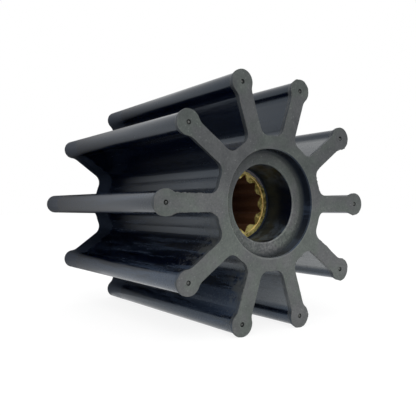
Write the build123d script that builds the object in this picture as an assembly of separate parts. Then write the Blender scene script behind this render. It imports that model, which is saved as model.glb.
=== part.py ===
"""Flexible pump impeller: a rubber wheel of straight vanes moulded round a splined brass bush.

Millimetres. The axis is Y, with the origin on it at mid length. The recessed front face is at -Y.
Vane 0 lies along +X, and the others follow towards +Z.
"""

from build123d import *
from math import atan2, cos, hypot, pi, radians, sin, sqrt, tan
import os

# Wheel
LENGTH = 101.6              # end face to end face
VANE_COUNT = 10
TIP_CIRCLE_D = 87.0         # circle through the centres of the tip beads

# Moulded section, at the front behind the lip and at the back: the difference is the mould's draft
BEAD_D_FRONT = 7.4
BEAD_D_BACK = 7.8
WEB_T_FRONT = 4.8
WEB_T_BACK = 5.3
HUB_D_FRONT = 46.8
HUB_D_BACK = 47.8
ROOT_R = 4.3                # between hub and web
NECK_R = 5.0                # between web and bead

# Lip all round the front face, where the mould's end plate stands wider than the body behind it
LIP_PROUD = 0.6
LIP_T = 1.0
LIP_BEVEL = 1.6             # length of the slope from the lip down to the body

# Blind dimples left by the mould's core pins in the front end of each bead
DIMPLE_D = 1.7
DIMPLE_DEPTH = 0.9

# Recess and smooth rubber bore at each end
RECESS_D = 38.6
RECESS_DEPTH = 4.7
RECESS_FLOOR_EDGE = 0.8     # bevel in the corner between wall and floor
BORE_D = 28.2
EDGE = 0.4                  # bevelled rims of recess and bore

# Bush, held between the two rubber bores
BUSH_SETBACK = 18.9         # end face of the wheel to end face of the bush
BUSH_OD = 34.0

# Internal spline
SPLINE_TEETH = 12
SPLINE_MAJOR_D = 22.9       # floors of the grooves
SPLINE_MINOR_D = 19.4       # tips of the teeth
SPLINE_SPACE_W = 1.95       # width of a groove halfway up the teeth
SPLINE_FLANK = 40.0         # degrees between a flank and its groove's centre line
TOOTH_TIP_ROUND = 0.5
MOUTH_D = 24.0              # turned step in each face of the bush, round the teeth
MOUTH_DEPTH = 0.35

# Places that follow from the sizes above
FRONT = -LENGTH / 2
BACK = LENGTH / 2
TIP_R = TIP_CIRCLE_D / 2
VANE_PITCH = 360 / VANE_COUNT
BUSH_LENGTH = LENGTH - 2 * BUSH_SETBACK
PAST = 1.0                  # how far a cutter runs past the face that it opens


def across(y):
    """Plane square to the axis at y, seen from the front: local x is +X and local y is +Z."""
    return Plane(origin=(0, y, 0), x_dir=(1, 0, 0), z_dir=(0, -1, 0))


def towards(start, end, distance):
    """The point at a distance from start on the way to end."""
    start, end = Vector(*start), Vector(*end)
    return start + (end - start).normalized() * distance


def short_arc(centre, radius, start, end):
    """Arc from start to end the short way round its centre."""
    middle = (Vector(*start) + Vector(*end)) / 2
    return ThreePointArc(start, towards(centre, middle, radius), end)


def wheel_section(bead_r, web_half, hub_r, root_r, neck_r):
    """Hub, webs and beads in one closed outline, with every corner a tangent arc."""
    root_x = sqrt((hub_r + root_r) ** 2 - (web_half + root_r) ** 2)
    neck_x = TIP_R - sqrt((bead_r + neck_r) ** 2 - (web_half + neck_r) ** 2)
    hub_share = hub_r / (hub_r + root_r)
    bead_share = bead_r / (bead_r + neck_r)
    half_gap = pi / VANE_COUNT

    def flank(side):
        """Points of one side of vane 0, from the hub out, and its two arc centres."""
        root_centre = (root_x, side * (web_half + root_r))
        neck_centre = (neck_x, side * (web_half + neck_r))
        return {
            "hub": (root_x * hub_share, root_centre[1] * hub_share),
            "root": (root_x, side * web_half),
            "neck": (neck_x, side * web_half),
            "bead": (TIP_R + (neck_x - TIP_R) * bead_share, neck_centre[1] * bead_share),
            "root_centre": root_centre,
            "neck_centre": neck_centre,
        }

    low, high = flank(-1), flank(1)
    next_angle = 2 * half_gap - atan2(high["hub"][1], high["hub"][0])
    next_hub = (hub_r * cos(next_angle), hub_r * sin(next_angle))
    vane = [
        short_arc(low["root_centre"], root_r, low["hub"], low["root"]),
        Line(low["root"], low["neck"]),
        short_arc(low["neck_centre"], neck_r, low["neck"], low["bead"]),
        ThreePointArc(low["bead"], (TIP_R + bead_r, 0), high["bead"]),
        short_arc(high["neck_centre"], neck_r, high["bead"], high["neck"]),
        Line(high["neck"], high["root"]),
        short_arc(high["root_centre"], root_r, high["root"], high["hub"]),
        short_arc((0, 0), hub_r, high["hub"], next_hub),
    ]
    outline = [edge.rotate(Axis.Z, turn * VANE_PITCH) for turn in range(VANE_COUNT) for edge in vane]
    return Face(Wire(outline))


def front_section(proud):
    """The section just behind the lip, grown all round by proud."""
    return wheel_section(
        BEAD_D_FRONT / 2 + proud,
        WEB_T_FRONT / 2 + proud,
        HUB_D_FRONT / 2 + proud,
        ROOT_R - proud,
        NECK_R - proud,
    )


def back_section():
    return wheel_section(BEAD_D_BACK / 2, WEB_T_BACK / 2, HUB_D_BACK / 2, ROOT_R, NECK_R)


def vane_wheel():
    """Drafted body from the back up to the bevel under the lip, and the lip itself."""
    return loft(
        [
            across(FRONT) * front_section(LIP_PROUD),
            across(FRONT + LIP_T) * front_section(LIP_PROUD),
            across(FRONT + LIP_T + LIP_BEVEL) * front_section(0),
            across(BACK) * back_section(),
        ],
        ruled=True,
    )


def bush_envelope():
    """The bush without its hole: the rubber's pocket and the brass are both cut from this."""
    return across(0) * Cylinder(BUSH_OD / 2, BUSH_LENGTH)


def end_opening():
    """Recess and bore of the front end, down to the bush, as the solid that cuts them."""
    recess_r, bore_r = RECESS_D / 2, BORE_D / 2
    floor = FRONT + RECESS_DEPTH
    profile = Polyline(
        (0, FRONT - PAST),
        (recess_r + EDGE, FRONT - PAST),
        (recess_r + EDGE, FRONT),
        (recess_r, FRONT + EDGE),
        (recess_r, floor - RECESS_FLOOR_EDGE),
        (recess_r - RECESS_FLOOR_EDGE, floor),
        (bore_r + EDGE, floor),
        (bore_r, floor + EDGE),
        (bore_r, FRONT + BUSH_SETBACK),
        (0, FRONT + BUSH_SETBACK),
        close=True,
    )
    return revolve(make_face(profile), Axis.Y)


def impeller_body():
    opening = end_opening()
    body = vane_wheel() - bush_envelope() - opening - opening.rotate(Axis.Z, 180)
    pin_length = DIMPLE_DEPTH + PAST
    pin = across(FRONT - PAST + pin_length / 2) * Pos(TIP_R, 0) * Cylinder(DIMPLE_D / 2, pin_length)
    return body - [pin.rotate(Axis.Y, turn * VANE_PITCH) for turn in range(VANE_COUNT)]


def spline_section():
    """Section of the splined hole: tooth tips and groove floors on circles, with straight flanks."""
    tip_r, floor_r = SPLINE_MINOR_D / 2, SPLINE_MAJOR_D / 2
    flare = (floor_r - tip_r) / 2 * tan(radians(SPLINE_FLANK))
    mouth_half = SPLINE_SPACE_W / 2 + flare
    floor_half = SPLINE_SPACE_W / 2 - flare
    mouth_x = sqrt(tip_r**2 - mouth_half**2)
    floor_x = sqrt(floor_r**2 - floor_half**2)
    next_angle = 2 * pi / SPLINE_TEETH - atan2(mouth_half, mouth_x)
    next_mouth = (tip_r * cos(next_angle), tip_r * sin(next_angle))
    groove = [
        Line((mouth_x, -mouth_half), (floor_x, -floor_half)),
        short_arc((0, 0), floor_r, (floor_x, -floor_half), (floor_x, floor_half)),
        Line((floor_x, floor_half), (mouth_x, mouth_half)),
        short_arc((0, 0), tip_r, (mouth_x, mouth_half), next_mouth),
    ]
    pitch = 360 / SPLINE_TEETH
    outline = [edge.rotate(Axis.Z, (turn + 0.5) * pitch) for turn in range(SPLINE_TEETH) for edge in groove]
    section = Face(Wire(outline))
    tooth_corners = section.vertices().filter_by(lambda v: hypot(v.X, v.Y) < (tip_r + floor_r) / 2)
    return fillet(tooth_corners, TOOTH_TIP_ROUND)


def splined_bush():
    hole_length = BUSH_LENGTH + 2 * PAST
    hole = extrude(across(-hole_length / 2) * spline_section(), hole_length, dir=(0, 1, 0))
    mouth = across((MOUTH_DEPTH - BUSH_LENGTH) / 2) * Cylinder(MOUTH_D / 2, MOUTH_DEPTH)
    return bush_envelope() - hole - mouth - mouth.rotate(Axis.Z, 180)


os.makedirs("parts", exist_ok=True)
for name, solid in {"impeller_body": impeller_body(), "splined_bush": splined_bush()}.items():
    solid.label = name
    export_step(solid, f"parts/{name}.step")
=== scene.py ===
"""Looks of a flexible pump impeller: a rubber wheel of ten vanes moulded round a splined brass bush.

Metres, in the same frame as the solids: the wheel's axis is Y, the recessed front face is at -Y, and vane 0
lies along +X with the others following towards +Z.
"""

import math

import bmesh
import bpy
from mathutils import Matrix, Vector, noise


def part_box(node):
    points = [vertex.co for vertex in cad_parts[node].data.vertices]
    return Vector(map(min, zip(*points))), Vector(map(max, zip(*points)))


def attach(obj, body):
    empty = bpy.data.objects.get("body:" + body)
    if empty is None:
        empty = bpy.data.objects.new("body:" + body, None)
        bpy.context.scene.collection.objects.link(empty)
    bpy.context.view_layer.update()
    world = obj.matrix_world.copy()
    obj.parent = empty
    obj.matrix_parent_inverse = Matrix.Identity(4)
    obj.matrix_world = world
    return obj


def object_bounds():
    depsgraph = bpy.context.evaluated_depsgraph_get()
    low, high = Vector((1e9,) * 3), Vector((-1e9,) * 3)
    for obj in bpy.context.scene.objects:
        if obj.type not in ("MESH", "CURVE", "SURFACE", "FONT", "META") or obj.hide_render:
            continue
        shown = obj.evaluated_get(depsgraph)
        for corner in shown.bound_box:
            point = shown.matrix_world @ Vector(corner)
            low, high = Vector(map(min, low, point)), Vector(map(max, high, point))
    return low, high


bl_info = {
    "name": "Impeller Bench",
    "version": (1, 0, 0),
    "blender": (4, 5, 0),
    "location": "View3D > Sidebar > Impeller",
    "description": "Rubber and brass finishes, moulding flash and a plain studio "
                   "for a flexible pump impeller",
    "category": "Object",
}

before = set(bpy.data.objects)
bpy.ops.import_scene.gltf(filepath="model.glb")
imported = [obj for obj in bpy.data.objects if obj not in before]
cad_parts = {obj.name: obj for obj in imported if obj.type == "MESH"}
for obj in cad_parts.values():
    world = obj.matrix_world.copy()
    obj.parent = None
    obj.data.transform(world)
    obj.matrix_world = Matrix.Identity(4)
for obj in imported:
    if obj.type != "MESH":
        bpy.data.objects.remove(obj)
CAD_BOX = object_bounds()
LOW, HIGH = CAD_BOX
MM = 0.001
FULL_TURN = 2 * math.pi
BODY = "impeller_body"
BUSH = "splined_bush"

# The wheel's two ends are alike. A depth is measured from mid length towards either of them.
FRONT = LOW.y                           # the front face
END = -FRONT                            # depth of the end faces
RECESS_FLOOR = END - 4.7 * MM           # depth of the floor of each recess
BUSH_FACE = -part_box(BUSH)[0].y          # depth of the bush's faces
RECESS_R = 19.3 * MM
RIM_R = RECESS_R + 0.5 * MM             # just past the bevelled rim of the recess
BORE_R = 14.1 * MM
BUSH_STEP_R = 12.0 * MM                 # turned step in the bush's faces
VANES = 10
VANE_PITCH = math.radians(360 / VANES)
TIP_R = 43.5 * MM                       # axis to the middle of a tip bead
FACET = 0.05 * MM                       # more than the solids' facets stray from their circles
WELD = 0.001 * MM                       # points closer than this are one point

# Each vane's nub: radius, place to the side and upwards in its dimple, and depth of its top, in millimetres
NUBS = (
    (0.80, 0.0, 0.0, 0.05), (0.50, 0.2, -0.25, 0.12), (0.50, 0.3, 0.0, 0.25), (0.55, -0.25, 0.0, 0.08),
    (0.60, 0.2, 0.05, 0.15), (0.50, 0.3, 0.1, 0.20), (0.70, 0.0, 0.0, 0.08), (0.48, 0.0, 0.0, 0.06),
    (0.68, 0.05, 0.0, 0.06), (0.66, 0.1, 0.15, 0.10),
)


# ---------------------------------------------------------------- what a user may change


def colour(name, description, value):
    return bpy.props.FloatVectorProperty(
        name=name, description=description, default=value, size=3, subtype="COLOR", min=0.0, max=1.0
    )


def factor(name, description, value):
    return bpy.props.FloatProperty(
        name=name, description=description, default=value, min=0.0, max=1.0, subtype="FACTOR"
    )


def length(name, description, value):
    return bpy.props.FloatProperty(
        name=name, description=description, default=value, min=0.0, unit="LENGTH", precision=5
    )


def angle(name, description, value):
    return bpy.props.FloatProperty(name=name, description=description, default=value, unit="ROTATION")


class ImpellerRubber(bpy.types.PropertyGroup):
    moulded: colour("Moulded colour", "Colour of the rubber as it left the mould", (0.0005, 0.0018, 0.0082))
    ground: colour("Ground colour", "Colour of the end faces, ground after moulding", (0.077, 0.0805, 0.077))
    moulded_roughness: factor("Moulded roughness", "Roughness of the moulded skin", 0.19)
    ground_roughness: factor("Ground roughness", "Roughness of the ground faces", 0.78)
    grain: length("Grain depth", "Depth of the fine grain of the ground faces", 0.04 * MM)
    # painted light: how much paler the low side of the faces is painted, as if more light fell there
    paler_low_side: factor("Painted low light", "How much paler the low side of the faces is", 0.55)
    smear: colour("Smear colour", "Colour of the dry smears on the moulded skin", (0.028, 0.041, 0.068))
    # painted light: the pale patches in the bore stand in for light and reflection on its wall
    bore_lit_patch: colour("Bore patch colour", "Colour of the dull patches in the bore", (0.056, 0.074, 0.100))
    thin_skin: colour("Thin skin colour", "Colour of the thin rubber skin on the bush", (0.13, 0.115, 0.12))


class ImpellerBrass(bpy.types.PropertyGroup):
    brass: colour("Brass colour", "Colour of the turned brass", (1.0, 0.86, 0.33))
    tarnish: colour("Tarnish colour", "Colour of the dull patches", (0.46, 0.355, 0.105))
    # painted highlight: a paler cream line along the edge of the turned step
    highlit: colour("Highlit colour", "Colour of the worn edge of the turned step", (0.74, 0.62, 0.40))
    # painted shade: the brass down in the splined hole is painted a matt brown
    groove_shade: colour("Groove colour", "Colour down in the splined hole", (0.115, 0.040, 0.010))
    roughness: factor("Brass roughness", "Roughness of the turned face", 0.5)


class ImpellerTrim(bpy.types.PropertyGroup):
    flash: length("Flash", "Most that the moulding flash stands out of the front edge", 0.38 * MM)


class ImpellerStudio(bpy.types.PropertyGroup):
    eye: bpy.props.FloatVectorProperty(
        name="Camera place", description="Where the camera stands", size=3, unit="LENGTH",
        default=(-0.127102, -0.194110, -0.001817),
    )
    heading: angle("Heading", "Turn of the camera from +Y towards +X", math.radians(34.729))
    dip: angle("Dip", "How far the camera looks down", math.radians(-0.032))
    roll: angle("Roll", "Lean of the camera", math.radians(0.092))
    lens: bpy.props.FloatProperty(
        name="Lens", description="Focal length on a 36 mm sensor", default=46.463, unit="CAMERA"
    )
    sky: bpy.props.FloatProperty(
        name="Sky light", description="Strength of the white surroundings as a light", default=0.75, min=0.0
    )
    key: bpy.props.FloatProperty(
        name="Key light", description="Power of the large soft lamp", default=1.6, min=0.0, unit="POWER"
    )


# ---------------------------------------------------------------- nodes


def rgba(colour):
    return (*colour, 1.0)


def grey(level):
    return (level, level, level, 1.0)


def toned(colour, red, green, blue):
    """The colour with each channel times its own number."""
    return rgba(channel * by for channel, by in zip(colour, (red, green, blue)))


def scaled(colour, by):
    return toned(colour, by, by, by)


class Nodes:
    """Adds and links the nodes of one tree. A value is a number, a colour or another node's output."""

    def __init__(self, tree):
        self.tree = tree

    def add(self, kind, inputs=None, **settings):
        made = self.tree.nodes.new(kind)
        for key, value in settings.items():
            setattr(made, key, value)
        for key, value in (inputs or {}).items():
            self.feed(made.inputs[key], value)
        return made

    def feed(self, socket, value):
        if isinstance(value, bpy.types.NodeSocket):
            self.tree.links.new(value, socket)
        else:
            socket.default_value = value

    def math(self, operation, *values, clamp=False):
        inputs = dict(enumerate(values))
        return self.add("ShaderNodeMath", inputs, operation=operation, use_clamp=clamp).outputs[0]

    def chain(self, operation, values):
        """One operation on the first two values, then on that and the third, and so on."""
        result, *others = values
        for other in others:
            result = self.math(operation, result, other)
        return result

    def plus(self, *values):
        return self.chain("ADD", values)

    def times(self, *values):
        return self.chain("MULTIPLY", values)

    def largest(self, *values):
        return self.chain("MAXIMUM", values)

    def minus(self, first, second):
        return self.math("SUBTRACT", first, second)

    def magnitude(self, value):
        return self.math("ABSOLUTE", value)

    def hypot(self, one, other):
        return self.math("SQRT", self.plus(self.times(one, one), self.times(other, other)))

    def over(self, value, limit):
        """1 where the value is over the limit, and 0 elsewhere."""
        return self.math("GREATER_THAN", value, limit)

    def under(self, value, limit):
        """1 where the value is under the limit, and 0 elsewhere."""
        return self.math("LESS_THAN", value, limit)

    def other_than(self, mask):
        """1 where the mask is 0, and 0 where it is 1."""
        return self.minus(1.0, mask)

    def map_range(self, value, low, high, at_low, at_high, way):
        spans = {"Value": value, "From Min": low, "From Max": high, "To Min": at_low, "To Max": at_high}
        return self.add("ShaderNodeMapRange", spans, interpolation_type=way).outputs["Result"]

    def ease(self, value, low, high, at_low=0.0, at_high=1.0):
        """Smooth step from at_low to at_high as the value goes from low to high."""
        return self.map_range(value, low, high, at_low, at_high, "SMOOTHSTEP")

    def fade(self, value, low, high):
        """Smooth step from 1 down to 0 as the value goes from low to high."""
        return self.ease(value, low, high, 1.0, 0.0)

    def ramp(self, value, low, high, at_low, at_high):
        """Straight line from at_low to at_high as the value goes from low to high, and level past both."""
        return self.map_range(value, low, high, at_low, at_high, "LINEAR")

    def near(self, value, middle, whole, gone):
        """1 up to one distance from the middle, and 0 from the other distance on."""
        return self.fade(self.magnitude(self.minus(value, middle)), whole, gone)

    def spread(self, pattern, at_low, at_high):
        """Stretches a noise pattern's usual range, so that it runs from at_low to at_high."""
        return self.ramp(pattern, 0.3, 0.7, at_low, at_high)

    def blend(self, mask, first, second):
        """A number that goes from first to second with the mask."""
        return self.ramp(mask, 0.0, 1.0, first, second)

    def noise(self, vector, per_metre, detail, roughness):
        inputs = {"Vector": vector, "Scale": per_metre, "Detail": detail, "Roughness": roughness}
        return self.add("ShaderNodeTexNoise", inputs).outputs["Fac"]

    def mix(self, mask, first, second, blend="MIX"):
        """The second colour over the first, where the mask is 1."""
        made = self.add("ShaderNodeMix", data_type="RGBA", blend_type=blend, clamp_factor=True)
        self.feed(made.inputs["Factor"], mask)
        for name, value in (("A", first), ("B", second)):
            socket = [s for s in made.inputs if s.name == name and s.type == "RGBA"][0]
            self.feed(socket, value)
        return [s for s in made.outputs if s.type == "RGBA"][0]

    def point(self):
        """The shaded point in its object's own frame, which is the wheel's."""
        return self.add("ShaderNodeTexCoord").outputs["Object"]

    def parts(self, point):
        return self.add("ShaderNodeSeparateXYZ", {0: point}).outputs[:3]

    def placed(self, name, point, **inputs):
        """The outputs of a shader node group at that point. An input's name has _ for each space."""
        made = self.add("ShaderNodeGroup", node_tree=bpy.data.node_groups[name])
        for key, value in {"Vector": point, **inputs}.items():
            self.feed(made.inputs[key.replace("_", " ")], value)
        return made.outputs

    def bump(self, height, strength, distance):
        inputs = {"Strength": strength, "Distance": distance, "Height": height}
        return self.add("ShaderNodeBump", inputs).outputs[0]

    def output(self, kind, **inputs):
        """The first output of a new shader node of that kind."""
        return self.add(f"ShaderNode{kind}", inputs).outputs[0]

    def surface(self, shader):
        self.add("ShaderNodeOutputMaterial", {"Surface": shader})

    def principled(self, colour, roughness, normal, more):
        """Ends a material with its main shader. The rest of the shader's inputs are in a dictionary."""
        inputs = {"Base Color": colour, "Roughness": roughness, "Normal": normal, **more}
        self.surface(self.add("ShaderNodeBsdfPrincipled", inputs).outputs[0])


def fresh_material(name):
    made = bpy.data.materials.new(name)
    made.use_nodes = True
    made.node_tree.nodes.clear()
    return made, Nodes(made.node_tree)


def group(name, numbers, outputs):
    """An empty shader node group: Vector and the numbers go in, and the outputs are numbers too."""
    made = bpy.data.node_groups.new(name, "ShaderNodeTree")
    made.interface.new_socket("Vector", in_out="INPUT", socket_type="NodeSocketVector")
    for socket, value in numbers.items():
        item = made.interface.new_socket(socket, in_out="INPUT", socket_type="NodeSocketFloat")
        item.default_value = value
    for socket in outputs:
        made.interface.new_socket(socket, in_out="OUTPUT", socket_type="NodeSocketFloat")
    return Nodes(made)


def grain_group():
    """Fine grain with broad clouding: both go from 0 to 1 about a middle of 0.5."""
    n = group("Grain", {"Grain per metre": 1800.0, "Clouds per metre": 160.0}, ["Grain", "Clouds"])
    given = n.add("NodeGroupInput").outputs
    grain = n.noise(given["Vector"], given["Grain per metre"], detail=2.0, roughness=0.6)
    clouds = n.noise(given["Vector"], given["Clouds per metre"], detail=4.0, roughness=0.6)
    n.add("NodeGroupOutput", {"Grain": grain, "Clouds": clouds})


def specks_group():
    """Sparse specks of many sizes: a mask that is 1 on each speck."""
    n = group("Specks", {"Specks per metre": 900.0, "Size": 0.22, "Share": 0.3}, ["Mask"])
    given = n.add("NodeGroupInput").outputs
    cells = n.add(
        "ShaderNodeTexVoronoi",
        {"Vector": given["Vector"], "Scale": given["Specks per metre"], "Randomness": 1.0},
        feature="F1",
    ).outputs
    draw = n.add("ShaderNodeSeparateColor", {"Color": cells["Color"]}).outputs[0]
    largest, smallest, soft_edge = 1.3, 0.4, 0.12
    reach = n.times(given["Size"], n.ramp(draw, 0.0, 1.0, largest, smallest))
    speck = n.ease(n.minus(reach, cells["Distance"]), 0.0, soft_edge)
    n.add("NodeGroupOutput", {"Mask": n.times(speck, n.under(draw, given["Share"]))})


def streaks_group():
    """Flow marks drawn out along the wheel's axis: narrow streaks, and smears twice as wide."""
    n = group("Flow streaks", {"Across per metre": 420.0, "Stretch": 14.0}, ["Streaks", "Smears"])
    given = n.add("NodeGroupInput").outputs
    squeeze = n.output("CombineXYZ", X=1.0, Y=n.math("DIVIDE", 1.0, given["Stretch"]), Z=1.0)
    drawn = n.add("ShaderNodeVectorMath", {0: given["Vector"], 1: squeeze}, operation="MULTIPLY").outputs[0]
    streaks = n.noise(drawn, given["Across per metre"], detail=3.0, roughness=0.6)
    smears = n.noise(drawn, n.times(given["Across per metre"], 0.5), detail=4.0, roughness=0.7)
    n.add("NodeGroupOutput", {"Streaks": streaks, "Smears": smears})


# ---------------------------------------------------------------- rubber


class Wheel:
    """Where the shaded point lies: places in metres, noise patterns, and masks that are 1 where they hold."""

    def __init__(self, n):
        self.point = n.point()
        self.x, self.y, self.z = n.parts(self.point)
        self.radius = n.hypot(self.x, self.z)
        self.depth = n.magnitude(self.y)
        self.off_floor = n.magnitude(n.minus(self.depth, RECESS_FLOOR))
        self.grain = n.placed("Grain", self.point)
        self.flow = n.placed("Flow streaks", self.point)
        self.specks = n.placed("Specks", self.point)["Mask"]

        self.low_side = n.fade(n.plus(self.z, n.times(self.grain["Clouds"], 8 * MM)), -14 * MM, 22 * MM)
        self.near_front = n.fade(self.y, FRONT + 3 * MM, FRONT + 22 * MM)
        self.near_back = n.ease(n.plus(self.y, n.times(self.grain["Clouds"], 2 * MM)), 35 * MM, 40 * MM)
        self.past_bore = n.over(self.radius, BORE_R + MM)
        self.past_recess = n.over(self.radius, RECESS_R + 2 * MM)
        self.in_bore = n.under(self.radius, BORE_R + FACET)
        self.in_recess = n.under(self.radius, RECESS_R + FACET)

        self.ends = n.over(self.depth, END - 0.03 * MM)
        self.floor = self.recess_floor(n)
        self.bore = n.times(self.in_bore, n.other_than(self.floor))
        self.ground = n.largest(self.ends, self.floor, self.worn_rim(n))
        self.lip = n.times(n.fade(self.y, FRONT + 2.2 * MM, FRONT + 3.0 * MM), self.past_recess)
        self.dimple = self.pin_dimple(n)

    def recess_floor(self, n):
        """Floor of the recess with the foot of its wall, but not the bore that goes down from it."""
        floor = n.times(self.in_recess, n.fade(self.off_floor, 0.5 * MM, 1.4 * MM))
        down_bore = n.times(self.in_bore, n.over(self.off_floor, 0.3 * MM))
        return n.times(floor, n.other_than(down_bore))

    def worn_rim(self, n):
        """Bevelled rim of the recess, on the side away from vane 0."""
        rim = n.times(n.under(self.radius, RIM_R), n.over(self.depth, END - 0.45 * MM))
        return n.times(rim, n.fade(self.x, 0.0, 12 * MM))

    def pin_dimple(self, n):
        """Inside of the dimple in the end of each tip bead."""
        vanes_on = n.math("DIVIDE", n.math("ARCTAN2", self.z, self.x), VANE_PITCH)
        off_vane = n.minus(vanes_on, n.math("ROUND", vanes_on))
        aside = n.times(off_vane, VANE_PITCH, self.radius)
        from_pin = n.hypot(aside, n.minus(self.radius, TIP_R))
        return n.times(n.under(from_pin, 0.95 * MM), n.over(self.depth, END - 1.2 * MM))


def low_light_and_pale_web(n, wheel, look):
    """Painted light all over the low side, and a paler patch on the web of the vane opposite vane 0."""
    web_place, whole, gone = 30 * MM, 4 * MM, 13 * MM
    pale_web = n.ease(n.hypot(n.plus(wheel.x, web_place), wheel.z), whole, gone, 0.38, 0.0)
    # the low side's paleness is painted light
    return n.plus(n.times(wheel.low_side, look.paler_low_side), n.times(pale_web, n.other_than(wheel.low_side)))


def painted_rim_highlights(n, wheel):
    """Painted highlights along the edges of bore and recess, brightest on the low side."""
    # painted highlight lines along the bevelled edges of bore and recess
    bore_rim_highlight = n.near(wheel.radius, BORE_R + 0.25 * MM, 0.15 * MM, 0.45 * MM)
    recess_rim_highlight = n.near(wheel.radius, RIM_R, 0.1 * MM, 0.4 * MM)
    rims = n.plus(n.times(bore_rim_highlight, 0.55), n.times(recess_rim_highlight, 0.35))
    return n.times(rims, n.plus(wheel.low_side, 0.25))


def floor_shade(n, wheel):
    """The recess's floor: painted shade towards its corner and up the foot of its wall, painted light towards
    vane 0, and mottled low down.
    """
    # painted shade in the corner of the recess and up the foot of its wall
    corner = n.ease(wheel.radius, RECESS_R - 1.9 * MM, RECESS_R - 0.7 * MM, 1.0, 0.36)
    foot = n.ease(wheel.off_floor, 0.03 * MM, 0.8 * MM, 1.0, 0.4)
    # painted light: the floor is painted brighter towards vane 0
    painted_light_towards_vane_0 = n.ease(wheel.x, -6 * MM, 14 * MM, 1.0, 1.15)
    pattern = n.noise(wheel.point, per_metre=1100.0, detail=2.0, roughness=0.6)
    mottle = n.times(n.ease(pattern, 0.35, 0.65, -0.24, 0.24), n.ease(wheel.z, -14 * MM, 2 * MM, 1.0, 0.3))
    return n.times(corner, foot, painted_light_towards_vane_0, n.plus(mottle, 1.0))


def ground_colour(n, wheel, look):
    """Ground faces: fine grain, clouding, scattered pale specks, painted light on the low side and along the
    rims, painted shade in the recess, and two tints in broad patches.
    """
    shade = n.plus(n.spread(wheel.grain["Clouds"], 0.80, 1.20), low_light_and_pale_web(n, wheel, look))
    shade = n.times(shade, n.spread(wheel.grain["Grain"], 0.84, 1.16))
    # painted highlights along the rims
    shade = n.plus(shade, n.times(wheel.specks, 0.7), painted_rim_highlights(n, wheel))
    shade = n.times(shade, n.blend(wheel.in_recess, 1.0, floor_shade(n, wheel)))
    patches = n.ease(n.noise(wheel.point, per_metre=70.0, detail=3.0, roughness=0.6), 0.40, 0.60)
    purplish, greenish = toned(look.ground, 1.03, 0.985, 1.02), toned(look.ground, 0.97, 1.02, 0.95)
    tint = n.mix(patches, purplish, greenish)
    return n.mix(1.0, tint, n.output("CombineColor", Red=shade, Green=shade, Blue=shade), "MULTIPLY")


def smear_marks(n, wheel):
    """Dry smears that run with the flow, mostly low down on the front half."""
    pattern = n.plus(wheel.flow["Smears"], n.ease(wheel.z, -36 * MM, -14 * MM, 0.10, 0.0))
    mostly_low = n.plus(n.times(wheel.low_side, 0.92), 0.08)
    mostly_front = n.ease(wheel.y, FRONT + 10 * MM, 45 * MM, 1.0, 0.25)
    return n.times(n.ease(pattern, 0.47, 0.60), mostly_low, mostly_front)


def scuff_marks(n, wheel):
    """Scuffs and paler patches just behind the front edge, low down and mostly away from vane 0."""
    low_skin = n.times(wheel.low_side, wheel.past_recess)
    fine = n.ease(n.noise(wheel.point, per_metre=900.0, detail=5.0, roughness=0.7), 0.54, 0.68)
    scuffs = n.times(fine, wheel.near_front, low_skin)
    broad = n.ease(n.noise(wheel.point, per_metre=300.0, detail=4.0, roughness=0.65), 0.38, 0.60)
    by_edge = n.ease(wheel.y, FRONT + 3 * MM, FRONT + 15 * MM, 0.85, 0.0)
    inwards = n.ease(wheel.radius, 30 * MM, 40 * MM, 1.0, 0.15)
    paler_low_side = n.times(broad, by_edge, inwards, low_skin)
    return n.times(n.largest(scuffs, paler_low_side), n.ease(wheel.x, 0.0, 12 * MM, 1.0, 0.1))


def painted_reflection_film(n, wheel):
    """Painted reflection: a pale layer on the webs of vane 0 and those below it, for the bright grazing
    reflection they show. It reaches further out on vane 0's side.
    """
    further = n.ease(wheel.x, 15 * MM, 25 * MM, 0.0, 1.2 * MM)
    past_root = n.ease(wheel.radius, 23 * MM, 27 * MM)
    short_of_bead = n.fade(n.minus(wheel.radius, further), 38 * MM, 40 * MM)
    side = n.ease(n.minus(wheel.x, n.times(wheel.z, 0.4)), 9.5 * MM, 30 * MM, 0.0, 0.9)
    return n.times(past_root, short_of_bead, side, n.spread(wheel.flow["Smears"], 0.7, 1.2))


def bore_colour(n, wheel, look):
    """Pale patches above and below the middle of the bore, mostly on the low side and clear of the bush:
    painted light and reflection on the bore's wall.
    """
    patches = n.ease(n.noise(wheel.point, per_metre=260.0, detail=4.0, roughness=0.65), 0.42, 0.62)
    off_middle = n.ease(n.magnitude(wheel.z), 4 * MM, 11 * MM)
    mostly_low = n.plus(n.times(wheel.low_side, 0.75), 0.4)
    off_bush = n.ease(wheel.depth, BUSH_FACE + 0.3 * MM, BUSH_FACE + 2 * MM)
    mask = n.times(patches, off_middle, mostly_low, off_bush)
    return n.mix(mask, rgba(look.moulded), rgba(look.bore_lit_patch))


def moulded_colour(n, wheel, look, smears, scuffs):
    """Nearly black moulded skin, with each layer of marks, painted light and painted reflection over those
    before it.
    """
    low_wall = n.times(wheel.in_recess, wheel.past_bore, n.ease(wheel.z, -19 * MM, -5 * MM, 0.75, 0.05))
    layers = (
        (n.times(wheel.near_back, 0.32), rgba(look.smear)),
        (smears, rgba(look.smear)),
        # painted reflection on the webs at vane 0's side
        (painted_reflection_film(n, wheel), toned(look.ground, 2.85, 2.80, 2.88)),
        (scuffs, rgba(look.ground)),
        (n.times(wheel.lip, 0.35), rgba(look.ground)),
        (wheel.bore, bore_colour(n, wheel, look)),
        (low_wall, scaled(look.ground, 0.5)),
        (wheel.dimple, scaled(look.ground, 0.7)),
    )
    colour = rgba(look.moulded)
    for mask, layer in layers:
        colour = n.mix(mask, colour, layer)
    return colour


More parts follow.
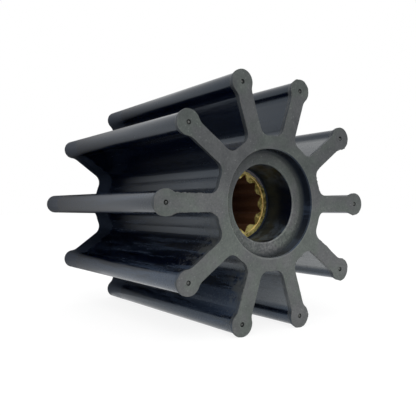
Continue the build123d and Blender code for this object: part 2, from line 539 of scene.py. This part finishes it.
def rubber_roughness(n, wheel, look, smears, scuffs):
    """Glossy moulded skin that is duller where it is marked, and matt ground faces."""
    glossiest, dullest = look.moulded_roughness - 0.05, look.moulded_roughness + 0.08
    rough = n.plus(
        n.spread(wheel.flow["Streaks"], glossiest, dullest), n.spread(wheel.grain["Grain"], -0.03, 0.03)
    )
    wall = n.times(n.fade(wheel.radius, RIM_R, RIM_R + 0.2 * MM), wheel.past_bore)
    wall_by_vane_0 = n.times(wall, n.ease(wheel.x, 4 * MM, 12 * MM))
    duller = (
        (n.largest(scuffs, wheel.dimple), 0.3),
        (smears, 0.05),
        (wheel.lip, 0.35),
        (wheel.near_back, 0.15),
        (wall_by_vane_0, 0.4),
    )
    for mask, more in duller:
        rough = n.plus(rough, n.times(mask, more))
    more_by_bush = n.ease(wheel.depth, BUSH_FACE, BUSH_FACE + 9 * MM, 0.50, 0.15)
    rough = n.math("ADD", rough, n.times(wheel.bore, more_by_bush), clamp=True)
    return n.blend(n.largest(wheel.ends, wheel.floor), rough, look.ground_roughness)


def rubber_bump(n, wheel, look):
    """Flow waves on the moulded skin, faint inside the recess, and fine grain on the ground faces."""
    waves = n.plus(n.times(wheel.flow["Streaks"], 0.9), n.times(wheel.flow["Smears"], 1.3))
    waves = n.times(waves, n.ease(wheel.radius, RECESS_R, RECESS_R + MM, 0.12, 1.0))
    height = n.blend(wheel.ground, waves, wheel.grain["Grain"])
    return n.bump(height, strength=0.6, distance=look.grain)


def rubber_material(look):
    """Dark moulded rubber with paler ground faces, told apart by where they lie on the wheel."""
    made, n = fresh_material("moulded_rubber")
    wheel = Wheel(n)
    smears, scuffs = smear_marks(n, wheel), scuff_marks(n, wheel)
    skin = moulded_colour(n, wheel, look, smears, scuffs)
    colour = n.mix(wheel.ground, skin, ground_colour(n, wheel, look))
    roughness = rubber_roughness(n, wheel, look, smears, scuffs)
    bluish = rgba((0.66, 0.83, 1.0))
    n.principled(colour, roughness, rubber_bump(n, wheel, look), {"Specular Tint": bluish})
    return made


def trim_material(name, colour, roughness):
    """Thin rubber with fine grain, for flash, nubs and skin."""
    _, n = fresh_material(name)
    grain = n.placed("Grain", n.point())["Grain"]
    shade = n.mix(n.spread(grain, 0.0, 1.0), scaled(colour, 0.75), scaled(colour, 1.3))
    n.principled(shade, roughness, n.bump(grain, strength=0.5, distance=0.04 * MM), {})


# ---------------------------------------------------------------- brass


def brass_material(look):
    """Turned brass, dull in patches, with a painted highlight along its turned step, and painted shade down
    the splined hole, where it is a matt brown.
    """
    made, n = fresh_material("turned_brass")
    point = n.point()
    x, y, z = n.parts(point)
    grain = n.placed("Grain", point, Clouds_per_metre=430.0)
    patches = n.ease(grain["Clouds"], 0.42, 0.58)
    step_edge = n.near(n.hypot(x, z), BUSH_STEP_R, 0.03 * MM, 0.16 * MM)
    # down the splined hole the brass is painted in shade: matt brown, rougher and not metal
    below_step = n.fade(n.magnitude(y), BUSH_FACE - 1.0 * MM, BUSH_FACE - 0.36 * MM)
    metal = n.mix(patches, rgba(look.brass), rgba(look.tarnish))
    # painted highlight along the edge of the turned step
    metal = n.mix(step_edge, metal, rgba(look.highlit))
    metal = n.mix(below_step, metal, rgba(look.groove_shade))
    rough = n.spread(grain["Grain"], look.roughness - 0.15, look.roughness + 0.15)
    rough = n.math("ADD", rough, n.times(below_step, 0.4), clamp=True)
    normal = n.bump(grain["Clouds"], strength=0.7, distance=0.10 * MM)
    n.principled(metal, rough, normal, {"Metallic": n.other_than(below_step)})
    return made


# ---------------------------------------------------------------- pieces


def dress(node, material):
    """Gives a CAD node's own slot its finish."""
    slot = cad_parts[node].material_slots[0]
    slot.link = "OBJECT"
    slot.material = material


class IMPELLER_OT_rubber(bpy.types.Operator):
    """Gives the impeller body its moulded and ground rubber, and makes the rubber of the thin pieces"""

    bl_idname = "impeller.rubber"
    bl_label = "Finish the Rubber"

    def execute(self, context):
        grain_group()
        specks_group()
        streaks_group()
        look = context.scene.impeller_rubber
        dress(BODY, rubber_material(look))
        trim_highlight_lift = 1.25                # the trim is painted this much paler than the ground faces, a painted highlight on its thin edges
        trim_material("trimmed_rubber", [channel * trim_highlight_lift for channel in look.ground], roughness=0.7)
        trim_material("skin_rubber", look.thin_skin, roughness=0.6)
        return {"FINISHED"}


class IMPELLER_OT_brass(bpy.types.Operator):
    """Gives the splined bush its brass"""

    bl_idname = "impeller.brass"
    bl_label = "Finish the Brass"

    def execute(self, context):
        dress(BUSH, brass_material(context.scene.impeller_brass))
        return {"FINISHED"}


def mesh_object(name, bm, material):
    """Makes the finished mesh an object at the origin."""
    mesh = bpy.data.meshes.new(name)
    bm.to_mesh(mesh)
    bm.free()
    mesh.materials.append(material)
    obj = bpy.data.objects.new(name, mesh)
    bpy.context.scene.collection.objects.link(obj)
    return obj


def smooth_round(bm):
    """Smooth shading that keeps the sharper edges."""
    crease = math.radians(35)
    for face in bm.faces:
        face.smooth = True
    for edge in bm.edges:
        edge.smooth = not edge.is_manifold or edge.calc_face_angle() < crease


def new_piece(name, bm, material, smooth=False):
    """Makes the finished mesh a piece that rides with the wheel."""
    bmesh.ops.recalc_face_normals(bm, faces=bm.faces)
    if smooth:
        smooth_round(bm)
    obj = mesh_object(name, bm, material)
    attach(obj, "root")


def body_rubber():
    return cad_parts[BODY].material_slots[0].material


def on_wheel(vane, radius, y):
    """A point on a vane's middle plane."""
    turn = VANE_PITCH * vane
    return Vector((radius * math.cos(turn), y, radius * math.sin(turn)))


def off_axis(point):
    return math.hypot(point.x, point.z)


def waver(point, per_metre):
    """Smooth noise between -1 and 1."""
    return noise.noise(point * per_metre)


def move_out(v, by):
    """Moves a vertex straight away from the axis."""
    stretch = 1 + by / off_axis(v.co)
    v.co.x *= stretch
    v.co.z *= stretch


def ring(bm, section, wall_r, depth, end, steps, start=0.0, sweep=FULL_TURN):
    """Spins a closed section round the axis at one end of the wheel, -1 or 1, and caps less than a full turn.
    The section is in millimetres: out from a wall, and from a depth towards that end."""
    full = sweep == FULL_TURN
    verts = []
    for out, up in section:
        radius = wall_r + out * MM
        place = (radius * math.cos(start), end * (depth + up * MM), radius * math.sin(start))
        verts.append(bm.verts.new(place))
    edges = [bm.edges.new(pair) for pair in zip(verts, verts[1:] + verts[:1])]
    if not full:
        bm.faces.new(verts)
    last = bmesh.ops.spin(
        bm, geom=verts + edges, cent=(0, 0, 0), axis=(0, -1, 0), angle=sweep, steps=steps, use_merge=full
    )["geom_last"]
    if not full:
        bm.faces.new([item for item in last if isinstance(item, bmesh.types.BMVert)])


class IMPELLER_OT_recess(bpy.types.Operator):
    """Rounds the wall of each recess into its floor, as the mould's core plug leaves it"""

    bl_idname = "impeller.recess"
    bl_label = "Round the Recess Corners"

    def execute(self, context):
        bm = bmesh.new()
        wall = ((0.05, 2.6), (-0.02, 1.5), (-0.10, 1.0))
        corner = ((-0.30, 0.58), (-0.58, 0.28), (-0.98, 0.07))
        foot = ((-1.5, -0.02), (0.05, -0.02))
        for end in (-1, 1):
            ring(bm, wall + corner + foot, RECESS_R, RECESS_FLOOR, end, steps=144)
        new_piece("recess_corners", bm, body_rubber(), smooth=True)
        return {"FINISHED"}


def lip_outline(bm, level):
    """Cuts a merged copy of the body just behind its front face and keeps the outer line of the cut alone.
    The way out of the rubber is kept in a layer on each vertex."""
    pin_reach, longest = 1.5 * MM, 0.3 * MM
    bm.from_mesh(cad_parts[BODY].data)
    bmesh.ops.remove_doubles(bm, verts=bm.verts, dist=WELD)
    everything = bm.verts[:] + bm.edges[:] + bm.faces[:]
    bmesh.ops.bisect_plane(bm, geom=everything, dist=0.1 * WELD, plane_co=(0, level, 0), plane_no=(0, 1, 0))
    pins = [on_wheel(vane, TIP_R, level) for vane in range(VANES)]

    def on_line(edge):
        return all(
            abs(v.co.y - level) < WELD
            and off_axis(v.co) > RECESS_R + MM
            and min((v.co - pin).length for pin in pins) > pin_reach
            for v in edge.verts
        )

    for edge in [e for e in bm.edges if on_line(e)]:
        cuts = int(edge.calc_length() / longest)
        if cuts:
            bmesh.ops.subdivide_edges(bm, edges=[edge], cuts=cuts)
    bm.normal_update()
    outward = bm.verts.layers.float_vector.new("outward")
    line = {v for e in bm.edges if on_line(e) for v in e.verts}
    for v in line:
        v[outward] = Vector((v.normal.x, 0, v.normal.z)).normalized()
    bmesh.ops.delete(bm, geom=[v for v in bm.verts if v not in line], context="VERTS")
    return outward


def room(point, way):
    """How far a point may go outwards and still stay a little inside the solids' box."""
    spare, least_step = 0.05 * MM, 0.05
    gaps = []
    for limit, at, step in ((HIGH.x, point.x, way.x), (HIGH.z, point.z, way.z)):
        if abs(step) > least_step:
            gaps.append((limit - abs(at)) / abs(step))
    return max(0.0, min(gaps) - spare)


class IMPELLER_OT_flash(bpy.types.Operator):
    """Grows the ragged rim of flash along the outer edge of the front face"""

    bl_idname = "impeller.flash"
    bl_label = "Grow the Moulding Flash"

    def execute(self, context):
        most = context.scene.impeller_trim.flash
        cut, foot, crest, heel = (FRONT + behind * MM for behind in (0.3, 0.03, 0.08, 0.45))
        sunk = 0.06 * MM                # how far inside the rubber the foot and the heel lie
        bm = bmesh.new()
        outward = lip_outline(bm, cut)
        foot_edges = bm.edges[:]
        self.place(bm.verts, outward, foot, lambda v: -sunk)
        crest_edges, verts = self.grow(bm, foot_edges)
        self.place(verts, outward, crest, lambda v: sunk + self.ragged(v, v[outward], most, sunk))
        heel_edges, verts = self.grow(bm, foot_edges)
        self.place(verts, outward, heel, lambda v: 0.0)
        bmesh.ops.bridge_loops(bm, edges=crest_edges + heel_edges)
        new_piece("front_flash", bm, bpy.data.materials["trimmed_rubber"])
        return {"FINISHED"}

    def place(self, verts, outward, y, step):
        for v in verts:
            v.co += v[outward] * step(v)
            v.co.y = y

    def grow(self, bm, edges):
        """Extrudes the line of edges and returns the new line's edges and vertices."""
        made = bmesh.ops.extrude_edge_only(bm, edges=edges)["geom"]
        verts = {item for item in made if isinstance(item, bmesh.types.BMVert)}
        new_edges = [item for item in made if isinstance(item, bmesh.types.BMEdge)]
        return [edge for edge in new_edges if verts.issuperset(edge.verts)], verts

    def ragged(self, v, way, most, sunk):
        """How far the flash stands out of the rubber: torn patches of teeth, and more round the tip beads."""
        least, in_patches, on_beads = 0.06, 1.8, 0.9            # shares of the most that it may be
        broad, coarse, fine, along_beads = 130.0, 500.0, 1500.0, 420.0      # waves per metre
        fewer_gaps, longer_teeth = 0.15, 0.35
        patches = waver(v.co, broad) + fewer_gaps
        teeth = waver(v.co, fine) * 0.7 + waver(v.co, coarse) * 0.6 + longer_teeth
        size = least + max(0.0, patches) * in_patches * max(0.0, teeth)
        if off_axis(v.co) > TIP_R + 2.5 * MM:
            another_place = Vector((0, 3, 0))
            size += on_beads * max(0.0, noise.noise(v.co * along_beads + another_place))
        return min(size * most, most, room(v.co + way * sunk, way))


class IMPELLER_OT_nubs(bpy.types.Operator):
    """Sets the small nubs that the mould's core pins left in the dimples"""

    bl_idname = "impeller.nubs"
    bl_label = "Set the Dimple Nubs"

    def execute(self, context):
        bm = bmesh.new()
        for vane, (radius, aside, up, sunk) in enumerate(NUBS):
            centre = on_wheel(vane, TIP_R, FRONT) + Vector((aside, sunk + radius, up)) * MM
            place = Matrix.Translation(centre)
            bmesh.ops.create_icosphere(bm, subdivisions=2, radius=radius * MM, matrix=place)
        new_piece("dimple_nubs", bm, bpy.data.materials["trimmed_rubber"])
        return {"FINISHED"}


class IMPELLER_OT_skin(bpy.types.Operator):
    """Lays the rubber that ran out over the rims of the bush: a narrow collar all round each, and a thin skin
    on one side of the front one"""

    bl_idname = "impeller.skin"
    bl_label = "Lay the Rubber Skin"

    def execute(self, context):
        self.collars()
        self.skin()
        return {"FINISHED"}

    def collars(self):
        bm = bmesh.new()
        section = ((0.05, -0.02), (0.05, 0.42), (-0.25, 0.34), (-0.58, 0.16), (-0.66, -0.02))
        for end in (-1, 1):
            ring(bm, section, BORE_R, BUSH_FACE, end, steps=240)
        for v in bm.verts:
            self.wander(v, most=0.16 * MM)
        new_piece("bush_collars", bm, body_rubber(), smooth=True)

    def skin(self):
        """The skin narrows towards its outer line at both ends."""
        outer = 0.40
        section = ((-outer, -0.02), (-outer, 0.22), (-0.90, 0.17), (-1.40, 0.10), (-1.50, -0.02))
        start, sweep = math.radians(24), math.radians(66)
        taper, least = 0.25, 0.02       # share of the sweep that narrows, and of the width left at its end
        bm = bmesh.new()
        ring(bm, section, BORE_R, BUSH_FACE, end=-1, steps=90, start=start, sweep=sweep)
        for v in bm.verts:
            along = (math.atan2(v.co.z, v.co.x) - start) / sweep
            from_end = max(0.0, min(along, 1 - along))
            width = BORE_R - outer * MM - off_axis(v.co)
            kept = width * min(1.0, from_end / taper + least)
            move_out(v, width - kept)
            self.wander(v, most=0.5 * kept)
        new_piece("bush_skin", bm, bpy.data.materials["skin_rubber"], smooth=True)

    def wander(self, v, most):
        """Moves a point that is off the bore's wall in or out, by noise."""
        coarse, fine = 600, 1700        # waves per metre
        if off_axis(v.co) < BORE_R - 0.01 * MM:
            move_out(v, most * (waver(v.co, coarse) * 0.6 + waver(v.co, fine) * 0.4))


# ---------------------------------------------------------------- stage


def white_background(n, seen, lit):
    """Chooses the seen shader for camera, glossy and transmission rays, and the lit one for the rest."""
    rays = n.add("ShaderNodeLightPath").outputs
    sharp = n.largest(rays["Is Camera Ray"], rays["Is Glossy Ray"], rays["Is Transmission Ray"])
    return n.add("ShaderNodeMixShader", {0: sharp, 1: lit, 2: seen}).outputs[0]


class IMPELLER_OT_studio(bpy.types.Operator):
    """Lays the pale floor, the white surroundings, the card, the soft lamp and the camera"""

    bl_idname = "impeller.studio"
    bl_label = "Set the Studio"

    def execute(self, context):
        look = context.scene.impeller_studio
        self.surroundings(context.scene, look)
        self.floor()
        self.card()
        self.lamp(context.scene, look)
        self.camera(context.scene, look)
        return {"FINISHED"}

    def surroundings(self, scene, look):
        scene.view_settings.view_transform = "Standard"
        world = bpy.data.worlds.new("white_surroundings")
        world.use_nodes = True
        world.node_tree.nodes.clear()
        n = Nodes(world.node_tree)
        seen = n.output("Background", Color=grey(1.0), Strength=1.0)
        lit = n.output("Background", Color=grey(1.0), Strength=look.sky)
        n.add("ShaderNodeOutputWorld", {"Surface": white_background(n, seen, lit)})
        scene.world = world

    def floor(self):
        """White with a faint shadow to the camera, plain white in reflections, and matt to other light."""
        half_size = 3.0
        made, n = fresh_material("pale_floor")
        matt = n.output("BsdfDiffuse", Color=grey(0.85))
        dimmed = n.output("BsdfDiffuse", Color=grey(0.22))
        glow = n.output("Emission", Color=grey(1.0), Strength=0.86)
        shadowed = n.add("ShaderNodeAddShader", {0: dimmed, 1: glow}).outputs[0]
        white = n.output("Emission", Color=grey(1.0), Strength=1.0)
        direct = n.add("ShaderNodeLightPath").outputs["Is Camera Ray"]
        seen = n.add("ShaderNodeMixShader", {0: direct, 1: white, 2: shadowed}).outputs[0]
        n.surface(white_background(n, seen, matt))

        bm = bmesh.new()
        bmesh.ops.create_grid(bm, x_segments=2, y_segments=2, size=half_size)
        bmesh.ops.translate(bm, verts=bm.verts, vec=(0, 0, LOW.z))
        obj = mesh_object("studio_floor", bm, made)

    def card(self):
        """A round card close behind the wheel that only reflections see: bright towards its edge and down the
        bore, and dark between the two."""
        card_r, behind = 85 * MM, 1.5 * MM
        made, n = fresh_material("dark_card")
        x, _, z = n.parts(n.point())
        radius = n.hypot(x, z)
        inner_part = n.ramp(radius, 37 * MM, 50 * MM, 0.0, 0.33)
        outer_part = n.ramp(radius, 50 * MM, 82 * MM, 0.0, 0.67)
        brighter_high = n.ease(z, 10 * MM, 55 * MM, 1.0, 1.15)
        down_bore = n.fade(radius, 11 * MM, 16 * MM)
        strength = n.plus(n.times(n.plus(inner_part, outer_part), brighter_high), down_bore)
        n.surface(n.output("Emission", Strength=strength))

        bm = bmesh.new()
        bmesh.ops.create_circle(bm, cap_ends=True, segments=64, radius=card_r)
        bmesh.ops.rotate(bm, verts=bm.verts, cent=(0, 0, 0), matrix=Matrix.Rotation(math.pi / 2, 3, "X"))
        bmesh.ops.translate(bm, verts=bm.verts, vec=(0, HIGH.y + behind, 0))
        obj = mesh_object("dark_card", bm, made)
        obj.visible_camera = obj.visible_diffuse = obj.visible_shadow = obj.visible_transmission = False

    def lamp(self, scene, look):
        """A large square lamp in front of the wheel, above it and to its left, aimed at its middle."""
        data = bpy.data.lights.new("soft_key", "AREA")
        data.shape = "SQUARE"
        data.size = 0.5
        data.energy = look.key
        obj = bpy.data.objects.new("soft_key", data)
        obj.location = Vector((-0.30, -0.45, 0.50))
        obj.rotation_euler = (-obj.location).to_track_quat("-Z", "Y").to_euler()
        scene.collection.objects.link(obj)

    def camera(self, scene, look):
        data = bpy.data.cameras.new("camera")
        data.sensor_fit = "HORIZONTAL"
        data.sensor_width = 36.0
        data.lens = look.lens
        data.clip_start = 0.01
        data.clip_end = 20.0
        obj = bpy.data.objects.new("camera", data)
        obj.location = look.eye
        obj.rotation_euler = (math.pi / 2 - look.dip, -look.roll, -look.heading)
        scene.collection.objects.link(obj)
        scene.camera = obj


# ---------------------------------------------------------------- add-on


class IMPELLER_PT_bench(bpy.types.Panel):
    """Lists the impeller's pieces and their settings"""

    bl_idname = "IMPELLER_PT_bench"
    bl_label = "Impeller"
    bl_space_type = "VIEW_3D"
    bl_region_type = "UI"
    bl_category = "Impeller"

    def draw(self, context):
        for title, name, group_type in SETTINGS:
            box = self.layout.box()
            box.label(text=title)
            for key in group_type.__annotations__:
                box.prop(getattr(context.scene, name), key)
        for operator in OPERATORS:
            self.layout.operator(operator.bl_idname)


SETTINGS = (
    ("Rubber", "impeller_rubber", ImpellerRubber),
    ("Brass", "impeller_brass", ImpellerBrass),
    ("Trim", "impeller_trim", ImpellerTrim),
    ("Studio", "impeller_studio", ImpellerStudio),
)
OPERATORS = (
    IMPELLER_OT_rubber, IMPELLER_OT_brass, IMPELLER_OT_recess, IMPELLER_OT_flash, IMPELLER_OT_nubs,
    IMPELLER_OT_skin, IMPELLER_OT_studio,
)


def register():
    for _, name, group_type in SETTINGS:
        bpy.utils.register_class(group_type)
        setattr(bpy.types.Scene, name, bpy.props.PointerProperty(type=group_type))
    for operator in OPERATORS:
        bpy.utils.register_class(operator)
    bpy.utils.register_class(IMPELLER_PT_bench)


def unregister():
    bpy.utils.unregister_class(IMPELLER_PT_bench)
    for operator in reversed(OPERATORS):
        bpy.utils.unregister_class(operator)
    for _, name, group_type in reversed(SETTINGS):
        delattr(bpy.types.Scene, name)
        bpy.utils.unregister_class(group_type)


def main():
    register()
    bpy.ops.impeller.rubber()
    bpy.ops.impeller.brass()
    bpy.ops.impeller.recess()
    bpy.ops.impeller.flash()
    bpy.ops.impeller.nubs()
    bpy.ops.impeller.skin()
    bpy.ops.impeller.studio()


if __name__ == "__main__":
    main()
